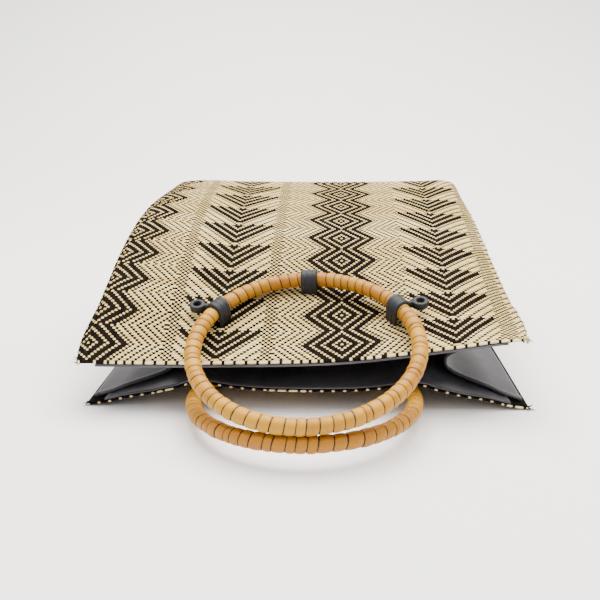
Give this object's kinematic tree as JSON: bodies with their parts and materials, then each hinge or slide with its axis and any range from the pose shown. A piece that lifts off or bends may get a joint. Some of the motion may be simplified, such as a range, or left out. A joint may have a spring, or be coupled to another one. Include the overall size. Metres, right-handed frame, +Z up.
{
  "type": "woven straw tote bag",
  "caption": "Woven straw tote bag with black patterned weave and cane ring handles, lying flat on its back.",
  "frame": {"origin": "on the floor under the middle of the whole bag's bounding box", "axes": "+Z up from the floor, +Y from the mouth and ring handles towards the bag's bottom, +X to the right seen from the mouth"},
  "size_m": [0.3396, 0.3952, 0.1374],
  "materials": {
    "straw": "woven natural and black straw, matt with a faint sheen",
    "lining": "black satin",
    "gusset": "dark grey soft sheen, stitched hem",
    "cane": "wound golden cane, satin",
    "lace": "dark blue-grey, matt"
  },
  "bodies": {
    "root": {"woven_body": "straw", "lining": "lining", "gusset_left": "gusset", "gusset_right": "gusset", "upper_ring": "cane", "lower_ring": "cane", "upper_lace_centre": "lace", "upper_lace_left": "lace", "upper_lace_right": "lace", "lower_lace_centre": "lace", "lower_lace_left": "lace", "lower_lace_right": "lace"}
  },
  "joints": []
}
